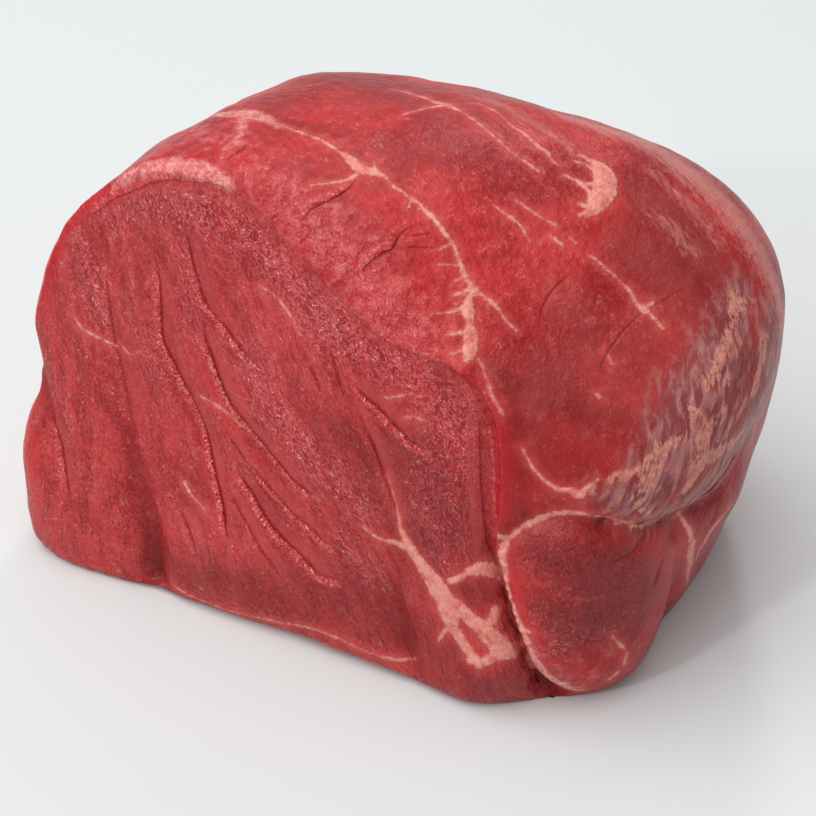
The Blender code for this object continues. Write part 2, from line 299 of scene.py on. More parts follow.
# Crisp fat, drawn in the picture: places with the width of the fat in tenths of a millimetre.
FAT = {
    "main_seam": [
        [(283, 121, 5), (305, 129, 6), (323, 136, 7), (341, 147, 9), (355, 158, 30), (364, 164, 36)],
        [(364, 164, 32), (382, 170, 14), (394, 181, 8), (412, 193, 8), (423, 202, 13), (434, 213, 8)],
        [(434, 213, 8), (444, 226, 9), (455, 241, 10), (463, 262, 11), (470, 278, 13), (476, 287, 19)],
        [(476, 287, 24), (471, 296, 16), (470, 308, 28), (471, 322, 22), (472, 338, 38), (472, 352, 30)],
    ],
    "blob": [
        [(345, 148, 9), (352, 154, 18), (358, 160, 16)],
        [(358, 169, 10), (350, 174, 8), (332, 177, 5), (309, 179, 2)], [(374, 156, 2), (376, 163, 7)],
    ],
    "spurs": [
        [(414, 196, 7), (409, 206, 2)], [(424, 199, 3), (421, 204, 6)], [(453, 239, 7), (441, 246, 2)],
        [(464, 262, 8), (453, 261, 4), (441, 261, 2)], [(468, 273, 8), (458, 277, 2)],
        [(474, 287, 16), (465, 290, 14), (455, 292, 4)], [(470, 302, 14), (458, 308, 8), (441, 311, 2)],
        [(471, 331, 14), (458, 331, 8), (443, 332, 2)], [(469, 347, 16), (462, 348, 12), (455, 350, 4)],
    ],
    "seam_branch": [[(477, 287, 8), (488, 295, 6), (500, 306, 7), (510, 321, 6), (518, 328, 2)]],
    "side_seam": [
        [(478, 352, 3), (487, 368, 3), (494, 386, 5), (503, 402, 5), (508, 410, 2)],
        [(524, 444, 2), (530, 456, 4), (537, 468, 4), (548, 480, 7), (562, 489, 8)],
        [(562, 489, 8), (572, 489, 16), (581, 494, 22), (590, 486, 9), (600, 478, 3)],
    ],
    "second_seam": [
        [(393, 83, 4), (412, 89, 7), (430, 96, 10), (446, 102, 24), (456, 107, 16), (464, 111, 7)],
        [(464, 111, 7), (480, 122, 5), (497, 136, 4), (515, 150, 3), (530, 160, 5), (540, 167, 2)],
        [(446, 103, 16), (428, 107, 7), (404, 113, 3)],
    ],
    "third_seam": [
        [(480, 100, 4), (495, 108, 6), (513, 123, 6), (526, 131, 9), (540, 143, 13), (549, 148, 10)],
        [(549, 148, 10), (555, 157, 10), (562, 162, 4)], [(553, 131, 5), (560, 134, 10)],
    ],
    "crescent": [
        [(581, 150, 8), (590, 154, 16), (601, 162, 40), (607, 174, 60), (606, 188, 60), (598, 202, 40)],
        [(597, 203, 36), (590, 209, 22), (582, 211, 10)], [(600, 168, 16), (590, 160, 8), (578, 156, 3)],
        [(602, 180, 20), (592, 180, 14), (583, 180, 4)],
        [(596, 196, 20), (590, 186, 15), (580, 177, 10), (568, 171, 3)],
        [(594, 206, 14), (587, 203, 12), (581, 201, 6)],
    ],
    "dashes": [
        [(519, 196, 6), (526, 201, 2), (533, 206, 5), (545, 214, 4), (558, 222, 5)],
        [(496, 201, 3), (510, 211, 5), (522, 221, 5), (533, 238, 4)],
        [(552, 232, 4), (558, 236, 7), (564, 241, 3)], [(572, 234, 5), (578, 240, 2)],
        [(592, 253, 4), (600, 259, 2), (609, 267, 6), (616, 272, 3), (631, 287, 8), (639, 298, 7)],
    ],
    "star": [
        [(640, 300, 6), (647, 306, 22), (653, 311, 6)], [(653, 311, 5), (660, 319, 3), (667, 326, 2)],
        [(647, 306, 10), (655, 300, 3)],
    ],
    "side_dots": [[(611, 354, 4), (613, 359, 9), (616, 361, 3)], [(598, 393, 6), (602, 396, 8)]],
    "wedge": [
        [(388, 476, 2), (394, 496, 4), (398, 512, 6), (401, 527, 14)],
        [(360, 524, 2), (378, 536, 6), (392, 541, 10), (404, 546, 18)],
        [(401, 527, 14), (409, 543, 28), (420, 558, 32), (436, 580, 46), (447, 598, 56), (452, 612, 54)],
        [(452, 612, 50), (456, 626, 32), (466, 644, 24), (474, 656, 28), (480, 664, 22)],
        [(460, 604, 30), (470, 616, 36), (484, 630, 42), (494, 642, 46), (500, 652, 44), (516, 660, 32)],
        [(470, 660, 16), (484, 662, 22), (496, 658, 26)],
        [(453, 579, 16), (464, 575, 16), (474, 570, 26), (484, 570, 32), (492, 578, 30), (494, 584, 10)],
        [(492, 610, 10), (493, 617, 20), (490, 625, 18)], [(450, 628, 14), (444, 634, 8), (440, 640, 3)],
    ],
    "threads": [
        [(183, 482, 7), (192, 496, 6), (200, 503, 4), (208, 511, 2)],
        [(200, 396, 2), (212, 402, 5), (224, 411, 5), (238, 424, 6), (248, 430, 3)],
        [(73, 315, 4), (80, 325, 6), (92, 333, 4), (106, 341, 5), (113, 346, 6)],
        [(120, 346, 2), (129, 353, 3), (140, 350, 2)], [(407, 415, 3), (415, 415, 4), (425, 418, 2)],
        [(386, 395, 2), (392, 396, 4), (404, 393, 3), (412, 392, 2)],
        [(258, 284, 2), (270, 290, 3), (281, 300, 4), (289, 311, 4), (296, 320, 2)],
    ],
    "lobe_rim": [
        [(503, 534, 14), (512, 536, 14), (523, 528, 12), (536, 521, 13), (551, 516, 14), (571, 513, 14)],
        [(571, 513, 14), (584, 515, 12), (592, 517, 8), (606, 519, 3), (622, 522, 4), (636, 527, 9)],
    ],
    "lobe_edge": [
        [(511, 537, 14), (505, 548, 20), (503, 562, 26), (503, 578, 24), (506, 596, 22), (511, 612, 22)],
        [(511, 612, 22), (517, 628, 28), (524, 641, 26), (531, 652, 20), (536, 660, 16)],
        # The lobe's foot: partly its own pale colour, partly painted light for the light on its front.
        [(536, 662, 22), (538, 671, 44), (546, 681, 56), (559, 687, 46), (574, 690, 26), (588, 688, 10)],
    ],
    "flap": [
        [(688, 516, 8), (692, 532, 16), (694, 548, 22), (694, 566, 20), (691, 584, 10)],
        [(736, 502, 5), (724, 514, 12), (714, 526, 14), (706, 542, 16), (700, 558, 8)],
    ],
    "lobe_marks": [
        [(614, 634, 3), (620, 642, 10), (625, 647, 5)], [(627, 651, 8), (624, 662, 10)],
        [(611, 676, 12), (618, 670, 10)], [(523, 632, 10), (530, 634, 12)],
    ],
    "foot_line": [
        [(174, 588, 5), (190, 596, 7), (215, 606, 7), (245, 615, 4), (275, 621, 8), (320, 629, 5)],
        [(320, 629, 5), (345, 638, 6), (370, 650, 5), (395, 660, 8), (413, 663, 6)],
    ],
}

# Fat on the sides that the picture doesn't show: the drawing view, then strokes as above.
FAT_BEHIND = {
    "back": [
        [(-62, 92, 2), (-48, 93, 5), (-34, 88, 6), (-22, 88, 16), (-14, 84, 32), (-6, 84, 12)],
        [(-6, 84, 10), (6, 80, 6), (16, 72, 8), (30, 64, 5), (44, 60, 7), (54, 52, 2)],
        [(-14, 84, 22), (-19, 74, 8), (-18, 62, 5), (-24, 50, 6), (-22, 40, 2)],
        [(-34, 88, 8), (-38, 80, 5), (-37, 74, 2)], [(16, 72, 8), (14, 64, 4), (18, 57, 2)],
        [(-20, 68, 6), (-12, 62, 4), (-9, 55, 2)], [(44, 60, 6), (42, 50, 7), (48, 38, 5), (46, 28, 2)],
    ],
    "left": [
        [(-42, 82, 2), (-30, 80, 6), (-18, 77, 5), (-6, 79, 12), (2, 80, 22), (12, 76, 9)],
        [(12, 76, 8), (22, 70, 4), (30, 68, 6), (38, 60, 2)],
        [(2, 79, 14), (0, 70, 6), (4, 60, 5), (0, 50, 2)], [(22, 70, 6), (24, 60, 4), (20, 52, 2)],
    ],
    "right": [[(10, 84, 3), (22, 80, 7), (32, 72, 5), (42, 62, 8), (48, 52, 2)]],
}
# How far around the fat its depth is known. It swells by a share of its depth, which counts up to a limit.
FAT_REACH = 4.0
FAT_DEPTH_LIMIT = 1.5
FAT_SWELL = 0.25

# Soft paint layers: how many millimetres around its strokes each one reaches, and the strokes, as the fat's.
PAINTS = {
    "lip": (4.0, {
        "lip": [
            [(112, 186, 8), (122, 178, 20), (134, 172, 28), (155, 166, 32), (180, 164, 36), (205, 168, 44),
             (222, 176, 40)],
            [(222, 176, 36), (230, 182, 28)],
        ],
        "lobe": [
            [(505, 545, 10), (502, 562, 16), (503, 592, 18), (510, 616, 20), (522, 640, 24), (534, 656, 24)],
            # The lobe's foot: partly its own pale pink, partly painted light for the light on its front.
            [(534, 662, 20), (540, 674, 40), (552, 684, 46), (572, 688, 30)],
        ],
        "left_patch": [
            [(212, 114, 20), (230, 112, 40), (248, 112, 50), (266, 116, 40), (282, 121, 20)],
            [(244, 116, 30), (238, 132, 18), (228, 144, 14)],
        ],
    }),
    "bright": (4.0, {
        "lobe_side": [[(512, 545, 15), (510, 570, 40), (514, 596, 40), (524, 622, 40), (540, 640, 40)]],
        "ridge": [
            [(470, 364, 20), (490, 390, 30), (503, 416, 38), (508, 450, 46), (509, 490, 44), (509, 524, 30)],
        ],
        "under_lip": [[(110, 195, 8), (140, 181, 10), (165, 174, 11), (192, 175, 11), (218, 179, 8)]],
        "lip_bead": [[(84, 208, 10), (96, 200, 15), (108, 192, 12)]],
        "left_edge": [[(80, 212, 16), (62, 242, 20), (50, 280, 20), (46, 310, 16)]],
        "strips": [
            [(160, 300, 8), (168, 355, 16), (180, 393, 24), (196, 427, 30), (208, 460, 34), (216, 491, 32),
             (224, 530, 20)],
            [(203, 352, 8), (210, 384, 22), (228, 414, 24), (248, 444, 24), (268, 466, 20), (296, 496, 14)],
        ],
        "foot": [[(36, 430, 20), (33, 470, 30), (40, 520, 30), (70, 556, 30), (110, 566, 20)]],
        "fold": [[(750, 452, 15), (734, 474, 34), (712, 496, 32), (692, 514, 20)]],
    }),
    "pink": (12.0, {
        # The lobe's foot: partly its own pink, partly painted light for the light on its front.
        "lobe_foot": [[(546, 672, 30), (564, 680, 50), (586, 677, 50), (604, 664, 20)]],
        "shoulder": [
            [(262, 196, 50), (290, 215, 100), (325, 240, 120), (352, 270, 110), (384, 300, 90),
             (420, 330, 70), (450, 350, 40)],
        ],
        "shoulder_top": [[(250, 165, 40), (290, 180, 80), (330, 215, 80)]],
        "left_crown": [[(110, 165, 40), (150, 145, 80), (190, 130, 80), (230, 140, 80)]],
    }),
    "pebbled": (6.0, {
        "lobe": [
            [(528, 560, 60), (556, 566, 160), (600, 576, 200), (630, 590, 140), (596, 616, 180),
             (560, 620, 160), (556, 650, 80)],
        ],
        "shoulder": [
            [(258, 165, 40), (280, 190, 70), (312, 226, 80), (350, 262, 80), (384, 296, 70), (420, 324, 50)],
        ],
        "below_lip": [
            [(100, 215, 50), (140, 202, 90), (180, 202, 120), (220, 212, 130), (250, 232, 130),
             (280, 265, 120)],
        ],
        "below_shoulder": [
            [(280, 265, 120), (312, 302, 120), (345, 330, 130), (385, 348, 130), (418, 370, 140),
             (442, 400, 130)],
        ],
        "right": [[(444, 400, 140), (446, 440, 140), (440, 480, 160), (438, 520, 140), (438, 556, 70)]],
        "middle": [
            [(250, 345, 50), (262, 380, 90), (274, 408, 80), (290, 430, 70), (312, 452, 90), (340, 482, 100),
             (368, 506, 90)],
        ],
        "low": [[(345, 542, 60), (355, 560, 70), (370, 575, 50)]],
        "left": [[(78, 236, 50), (86, 268, 80), (94, 298, 70), (102, 320, 40)]],
        "strips": [
            [(186, 250, 20), (188, 290, 30), (192, 312, 40), (196, 332, 20)],
            [(150, 330, 20), (158, 352, 30), (166, 372, 40), (176, 392, 30)],
            [(128, 300, 10), (134, 326, 20), (142, 344, 20)],
        ],
    }),
    # Painted shade low down, towards the right and in the folds; on the corner lobe it is partly the lobe's
    # own darker muscle.
    "dark": (12.0, {
        "facet": [[(500, 375, 50), (535, 392, 90), (575, 408, 70)]],
        "side_low": [[(516, 410, 60), (536, 440, 140), (570, 470, 140)]],
        "far_crown": [[(650, 190, 60), (690, 225, 120), (700, 265, 120), (640, 240, 120)]],
        "side_crease": [[(508, 440, 40), (512, 480, 50), (522, 510, 50)]],
        "lobe": [[(538, 550, 70), (566, 562, 150), (604, 574, 200), (636, 590, 140), (600, 612, 140)]],
        "lobe_low": [[(545, 596, 60), (566, 612, 90), (590, 622, 80)]],
        "cut_right": [[(400, 430, 60), (430, 480, 120), (456, 530, 80)]],
        "cut_middle": [[(340, 430, 40), (384, 480, 100), (420, 540, 80)]],
        "cut_low": [[(300, 590, 60), (350, 596, 140), (400, 630, 120)]],
        "cut_bottom": [[(150, 560, 30), (220, 580, 80), (290, 600, 100), (340, 615, 80)]],
        "cut_foot": [[(440, 650, 80), (470, 684, 80), (510, 690, 60)]],
        "wedge_island": [[(468, 588, 50), (484, 596, 70), (496, 604, 40)]],
        "fold": [[(748, 452, 20), (730, 480, 30), (700, 506, 30)]],
        "flap": [[(700, 560, 50), (712, 540, 60), (726, 516, 40)]],
    }),
    "dull": (12.0, {
        "facet": [[(566, 300, 60), (590, 330, 120), (560, 370, 120), (536, 396, 80)]],
        "side": [[(640, 250, 100), (676, 290, 160), (650, 350, 200), (616, 396, 180)]],
        "far_crown": [[(640, 190, 80), (690, 230, 120), (730, 280, 120)]],
    }),
    "film": (10.0, {
        "film_top": [[(748, 286, 60), (742, 310, 100), (734, 340, 160), (722, 372, 180)]],
        "film_middle": [[(722, 372, 180), (706, 405, 220), (686, 436, 200), (664, 470, 160)]],
        "film_low": [[(664, 470, 160), (645, 495, 120), (615, 500, 70), (596, 492, 30)]],
        "film_far": [[(775, 330, 140), (770, 380, 180), (752, 430, 140), (722, 470, 100), (690, 505, 60)]],
        "film_foot": [[(640, 520, 50), (672, 512, 80), (700, 490, 60)]],
    }),
    "cream": (4.0, {
        "streaks": [
            [(745, 288, 12), (743, 298, 36), (738, 312, 27), (731, 338, 18), (726, 350, 15)],
            [(734, 372, 6), (729, 379, 18), (724, 384, 6)],
            [(699, 398, 6), (694, 408, 21), (690, 420, 18), (686, 434, 9)],
            [(727, 402, 12), (720, 412, 24), (712, 424, 28), (703, 438, 28), (697, 452, 12)],
            [(677, 438, 12), (667, 446, 27), (656, 452, 24), (646, 462, 21), (640, 476, 15), (636, 492, 9)],
            [(746, 432, 12), (734, 441, 24), (722, 448, 30), (708, 456, 30), (696, 470, 33), (687, 488, 21)],
            [(618, 524, 6), (634, 527, 12), (648, 529, 14), (662, 526, 12), (676, 520, 8)],
            [(640, 468, 8), (630, 472, 4), (618, 474, 6), (604, 480, 5), (592, 490, 3)],
        ],
        "patches": [
            [(664, 455, 14), (650, 478, 26), (640, 500, 22), (652, 515, 14)],
            [(730, 330, 20), (722, 360, 30), (712, 384, 20)],
            [(748, 400, 16), (736, 420, 20), (722, 440, 20)],
            [(768, 330, 20), (764, 360, 30), (756, 392, 20)],
        ],
    }),
    # Painted reflection: a pale band along the far edge, and streaks, where the light grazes.
    "sheen": (8.0, {
        "far_edge": [
            [(566, 112, 50), (610, 128, 80), (660, 150, 100), (705, 182, 100), (745, 222, 90),
             (772, 270, 90), (784, 310, 60)],
        ],
        "streaks": [
            [(650, 168, 6), (676, 186, 14), (700, 208, 14), (724, 236, 6)],
            [(684, 176, 10), (706, 192, 20), (724, 210, 20), (740, 230, 8)],
            [(658, 213, 8), (672, 224, 14), (688, 238, 14), (700, 250, 6)],
            [(762, 240, 16), (768, 262, 26), (772, 292, 16)],
            [(470, 90, 8), (500, 102, 14), (540, 124, 16), (572, 142, 10)],
        ],
    }),
}

# Lumps of the flesh: the length and the height of each size.
LUMPS = [(11.0, 0.40), (4.5, 0.16)]

# Cuts along the edges of the cubes that the smooth form and the finished mesh are made from.
FORM_CUTS = 90
MESH_CUTS = 45
# The side that the picture shows is cut finer, then the flesh within each of these distances of drawn paths.
FINE_REACHES = (3.0, 0.9)
# Flesh lower than this is the underside, and relief dies away below the second height.
UNDERSIDE = 0.1
FLAT_HEIGHT = 3.0
# How fast the paint of the unseen sides comes in where the flesh turns away from the eye.
UNSEEN_FADE = 5.0
# Steps along a drawn path: millimetres in the drawing views, pixels in the picture.
PATH_STEP = 0.5
PICTURE_STEP = 1.6


def towards(azimuth, elevation):
    """The unit vector of a compass azimuth and an elevation, in degrees."""
    turn = math.radians(azimuth)
    rise = math.radians(elevation)
    flat = math.cos(rise)
    return np.array([math.sin(turn) * flat, -math.cos(turn) * flat, math.sin(rise)])


def closeness(directions, sides, sharpness, start=None):
    """One over the reach of a body with these sides. The lower the sharpness, the rounder its edges."""
    total = np.zeros(len(directions)) if start is None else start**sharpness
    for azimuth, elevation, distance in sides:
        total += np.maximum(directions @ towards(azimuth, elevation) / distance, 0) ** sharpness
    return total ** (1 / sharpness)


def fit_to_box(points):
    """Scales and moves the points so that they fill the solid's box exactly."""
    low = points.min(axis=0)
    high = points.max(axis=0)
    return box_low + (points - low) / (high - low) * (box_high - box_low)


def smooth_form(directions):
    """Points on the smooth form of the joint, one for each direction from its middle."""
    near = closeness(directions, MUSCLE_SIDES.values(), MUSCLE_ROUNDING)
    for side in CUT_SIDES.values():
        near = closeness(directions, [side], CUT_ROUNDING, near)
    points = MIDDLE + directions / near[:, None]
    for place, radius, height in SWELLINGS.values():
        away = ((points - place) ** 2).sum(axis=1)
        points += directions * (height * np.exp(-away / radius**2))[:, None]
    points[:, 2] = np.maximum(points[:, 2], 0)
    return fit_to_box(points)


def make_ball(cuts):
    """A cube of side 2, cut into an even grid on each face."""
    mesh = bmesh.new()
    bmesh.ops.create_cube(mesh, size=2)
    bmesh.ops.subdivide_edges(mesh, edges=mesh.edges[:], cuts=cuts, use_grid_fill=True)
    return mesh


def evened_out(places):
    """Turns places on the cube into directions that are spread evenly over the ball."""
    evened = np.tan(places * math.pi / 4)
    return evened / np.linalg.norm(evened, axis=1)[:, None]


def ball_directions(mesh):
    """The directions of a cut cube's vertices."""
    return evened_out(np.array([vertex.co for vertex in mesh.verts]))


def place_points(mesh, points):
    for vertex, point in zip(mesh.verts, points):
        vertex.co = point
    mesh.normal_update()


def curve_through(corners, step):
    """A smooth curve through the corners, as points about one step apart."""
    before = np.vstack([2 * corners[0] - corners[1], corners[:-1]])
    after = np.vstack([corners[1:], 2 * corners[-1] - corners[-2]])
    slopes = (after - before) / 2
    pieces = []
    for start, end, leave, arrive in zip(corners[:-1], corners[1:], slopes[:-1], slopes[1:]):
        count = max(2, round(np.linalg.norm(end[:2] - start[:2]) / step))
        t = np.linspace(0, 1, count, endpoint=False)[:, None]
        ease = t * t * (3 - 2 * t)
        bend = leave * t * (1 - t) ** 2 - arrive * t * t * (1 - t)
        pieces.append(start + (end - start) * ease + bend)
    pieces.append(corners[-1:])
    return np.vstack(pieces)


def eye_frame():
    """The eye's place, and its right, up and back directions."""
    back = towards(EYE_AZIMUTH, EYE_ELEVATION)
    right = np.array([math.cos(math.radians(EYE_AZIMUTH)), math.sin(math.radians(EYE_AZIMUTH)), 0.0])
    return EYE_TARGET + back * EYE_DISTANCE, right, np.cross(back, right), back


def sight_line(view, across, up):
    """Where the sight line through a place of a drawing starts, and where it goes."""
    if view == "picture":
        place, right, upward, back = eye_frame()
        focus = LENS / SENSOR * PICTURE
        ahead = right * (across - PICTURE / 2) / focus - upward * (up - PICTURE / 2) / focus - back
        return Vector(place), Vector(ahead).normalized()
    look, across_axis, up_axis = VIEWS[view]
    origin = look * -VIEW_DISTANCE
    origin[across_axis] = across
    origin[up_axis] = up
    return origin, look


def draw_on(tree, view, corners):
    """Lays a drawn path on the form. Rows are the place, then the corners' widths or strengths."""
    corners = np.array(corners, dtype=float)
    corners[:, 2:] /= TENTHS
    laid = []
    step = PICTURE_STEP if view == "picture" else PATH_STEP
    for across, up, *rest in curve_through(corners, step):
        hit = tree.ray_cast(*sight_line(view, across, up))[0]
        if hit is not None:
            laid.append([*hit, *rest])
    return np.array(laid)


def draw_all(tree, view, groups):
    """Lays every path of the groups on the form."""
    return [draw_on(tree, view, corners) for paths in groups.values() for corners in paths]


def tree_of(places):
    """A search tree of places."""
    tree = KDTree(len(places))
    for index, place in enumerate(places):
        tree.insert(place, index)
    tree.balance()
    return tree


def nearest_on(path, points, margin):
    """For the points near a path: their numbers, the nearest place's number, and the way from it."""
    places = path[:, :3]
    inside = (points > places.min(axis=0) - margin) & (points < places.max(axis=0) + margin)
    numbers = np.nonzero(inside.all(axis=1))[0]
    tree = tree_of(places)
    nearest = np.array([tree.find(points[number])[1] for number in numbers], dtype=int)
    return numbers, nearest, points[numbers] - places[nearest]


def lengths_along(path):
    """How far along a path each of its places is."""
    steps = np.linalg.norm(np.diff(path[:, :3], axis=0), axis=1)
    return np.concatenate([[0.0], np.cumsum(steps)])


def crease_depths(path, points, depths, width):
    """How far the points near a crease sink in."""
    numbers, nearest, gap = nearest_on(path, points, width * CREASE_SPREAD)
    depth = np.interp(nearest / (len(path) - 1), np.linspace(0, 1, len(depths)), depths)
    away = np.hypot(np.linalg.norm(gap, axis=1), CREASE_FLOOR) - CREASE_FLOOR
    sunk = np.zeros(len(points))
    sunk[numbers] = depth * np.exp(-away / width)
    return sunk


def rim_heights(path, points, normals, height, roll, drop):
    """How far the points near a rim rise: steeply on the cut side, slowly rolling off on the other."""
    numbers, nearest, gap = nearest_on(path, points, roll * RIM_SPREAD)
    along = np.gradient(path[:, :3], axis=0)[nearest]
    outwards = np.cross(normals[numbers], along)
    outwards /= np.maximum(np.linalg.norm(outwards, axis=1), 1e-9)[:, None]
    side = (gap * outwards).sum(axis=1)
    past_end = np.sqrt(np.maximum((gap**2).sum(axis=1) - side**2, 0))
    inside = np.exp(np.minimum(side, 0) / drop)
    outside = np.exp(-((np.maximum(side, 0) / roll) ** 2))
    raised = np.zeros(len(points))
    raised[numbers] = height * inside * outside * np.exp(-((past_end / roll) ** 2))
    return raised


def seam_places(paths, points, normals):
    """Each point's place across and along its nearest seam, and the strength of that seam's line and cord."""
    nearest_gap = np.full(len(points), SEAM_REACH)
    second_gap = np.full(len(points), SEAM_REACH)
    across = np.full(len(points), SEAM_REACH)
    along, line, cord = (np.zeros(len(points)) for _ in range(3))
    for path in paths:
        numbers, nearest, gap = nearest_on(path, points, SEAM_REACH)
        away = np.linalg.norm(gap, axis=1)
        closer = away < nearest_gap[numbers]
        second_gap[numbers] = np.where(closer, nearest_gap[numbers], np.minimum(second_gap[numbers], away))
        numbers, nearest, gap = numbers[closer], nearest[closer], gap[closer]
        nearest_gap[numbers] = away[closer]
        forward = np.gradient(path[:, :3], axis=0)[nearest]
        forward /= np.linalg.norm(forward, axis=1)[:, None]
        across[numbers] = (gap * np.cross(normals[numbers], forward)).sum(axis=1)
        lengths = lengths_along(path)
        along[numbers] = lengths[nearest] + (gap * forward).sum(axis=1)
        fade = np.clip(np.minimum(lengths, lengths[-1] - lengths) / SEAM_FADE, 0, 1)
        line[numbers] = (path[:, 3] * fade)[nearest]
        cord[numbers] = (path[:, 4] * fade)[nearest]
    apart = np.clip(second_gap - nearest_gap, 0, 1)
    return across, along, line * apart, cord * apart


def seam_heights(across, along, line, cord):
    """The overlap of a seam's flesh, the ragged cord beside its line, and the line's sharp groove."""
    overlap = line * np.clip(across / 0.5, 0, 1) * np.exp(-np.maximum(across, 0) / 2.0)
    ragged = 0.75 + 0.25 * np.sin(along * 2.3 + 2 * np.sin(along * 0.6))
    swell = cord * ragged * np.exp(-(((across - 1.1) / 0.9) ** 2))
    groove = line * np.exp(-np.abs(across) / 0.45)
    return overlap * OVERLAP_HEIGHT + swell * CORD_HEIGHT - groove * GROOVE_DEPTH


def bead_heights(path, points, height, width, spacing):
    """How far the points on a row of beads rise."""
    numbers, nearest, gap = nearest_on(path, points, width * RIM_SPREAD)
    along = lengths_along(path)[nearest]
    bead = 0.5 + 0.5 * np.cos((along + 0.6 * np.sin(along * 0.7)) * 2 * math.pi / spacing)
    away = np.linalg.norm(gap, axis=1)
    raised = np.zeros(len(points))
    raised[numbers] = height * bead * np.exp(-((away / width) ** 2))
    return raised


def wave_heights(points):
    """Long, shallow unevenness, the same at every run."""
    total = np.zeros(len(points))
    for number, (turn, tilt, length, height) in enumerate(WAVES):
        total += height * np.sin(points @ towards(turn, tilt) * 2 * math.pi / length + number)
    return total


def lump_heights(points):
    """Small, uneven lumps and hollows."""
    total = np.zeros(len(points))
    for length, height in LUMPS:
        total += [height * noise.noise(Vector(point / length)) for point in points]
    return total


def inside_strokes(strokes, points, reach):
    """How far inside the strokes each point is, in millimetres: negative outside, down to minus the reach."""
    depth = np.full(len(points), -reach)
    for path in strokes:
        margin = path[:, 3].max() / 2 + reach
        numbers, nearest, gap = nearest_on(path, points, margin)
        inside = path[nearest, 3] / 2 - np.linalg.norm(gap, axis=1)
        depth[numbers] = np.maximum(depth[numbers], inside)
    return depth


def cut_faces(mesh, is_near):
    """Cuts the faces whose middle passes the test once more. The mesh is still the cut cube here."""
    middles = np.array([face.calc_center_median() for face in mesh.faces])
    points = smooth_form(evened_out(middles))
    edges = set()
    for face, point in zip(mesh.faces, points):
        if point[2] > UNDERSIDE and is_near(point):
            edges.update(face.edges)
    bmesh.ops.subdivide_edges(mesh, edges=list(edges), cuts=1, use_grid_fill=True)


class Wire:
    """A socket of a material's nodes, for sums written in plain Python."""

    def __init__(self, finish, socket):
        self.finish = finish
        self.socket = socket

    def math(self, operation, first, second):
        return self.finish.node("ShaderNodeMath", {"operation": operation}, {0: first, 1: second})

    def __add__(self, other):
        return self.math("ADD", self, other)

    def __radd__(self, other):
        return self.math("ADD", other, self)

    def __sub__(self, other):
        return self.math("SUBTRACT", self, other)

    def __rsub__(self, other):
        return self.math("SUBTRACT", other, self)

    def __mul__(self, other):
        return self.math("MULTIPLY", self, other)

    def __abs__(self):
        return self.finish.node("ShaderNodeMath", {"operation": "ABSOLUTE"}, {0: self})

    def step(self, low, high):
        """Rises smoothly from 0 where the value is low to 1 where it is high."""
        sockets = {"Value": self, "From Min": low, "From Max": high, "To Min": 0.0, "To Max": 1.0}
        return self.finish.node("ShaderNodeMapRange", {"interpolation_type": "SMOOTHSTEP"}, sockets)

    def ridges(self, width):
        """1 on the lines where a pattern passes through its middle, and 0 beyond a width beside them."""
        return abs(self - 0.5).step(width, 0.0)


class Finish:
    """A material's nodes. The Principled shader is there from the start."""

    def __init__(self, name):
        self.material = bpy.data.materials.new(name)
        self.material.use_nodes = True
        self.tree = self.material.node_tree
        self.shader = self.tree.nodes["Principled BSDF"]

    def put(self, socket, value):
        """Links a socket, or sets it. Colours are written without their alpha."""
        if isinstance(value, Wire):
            self.tree.links.new(value.socket, socket)
        elif socket.type == "RGBA":
            socket.default_value = (*value, 1.0)
        else:
            socket.default_value = value

    def node(self, kind, settings=None, sockets=None, output=0):
        """Adds one node: its settings first, then the values and links of its sockets."""
        made = self.tree.nodes.new(kind)
        for name, value in (settings or {}).items():
            setattr(made, name, value)
        for name, value in (sockets or {}).items():
            self.put(made.inputs[name], value)
        return Wire(self, made.outputs[output])

    def attribute(self, name, output="Fac"):
        return self.node("ShaderNodeAttribute", {"attribute_name": name}, output=output)

    def turned(self, place, axis, angle):
        sockets = {"Vector": place, "Angle": angle}
        return self.node("ShaderNodeVectorRotate", {"rotation_type": axis + "_AXIS"}, sockets)

    def noise(self, place, lengths, detail, roughness=0.5, distortion=0.0):
        """Noise from about 0 to 1, with bumps of these lengths in millimetres along the axes."""
        factors = tuple(1 / length for length in lengths)
        vector = self.node("ShaderNodeVectorMath", {"operation": "MULTIPLY"}, {0: place, 1: factors})
        sockets = {"Vector": vector, "Scale": 1.0, "Detail": detail}
        sockets |= {"Roughness": roughness, "Distortion": distortion}
        return self.node("ShaderNodeTexNoise", {}, sockets)

    def blend(self, first, second, share):
        """Turns the first colour into the second as the share goes from 0 to 1."""
        return self.node("ShaderNodeMix", {"data_type": "RGBA"}, {0: share, 6: first, 7: second}, output=2)

    def coated(self, base, *coats):
        """A colour under coats of others, each with its share."""
        for coat, share in coats:
            base = self.blend(base, coat, share)
        return base

    def set(self, **values):
        for name, value in values.items():
            self.put(self.shader.inputs[name.replace("_", " ")], value)


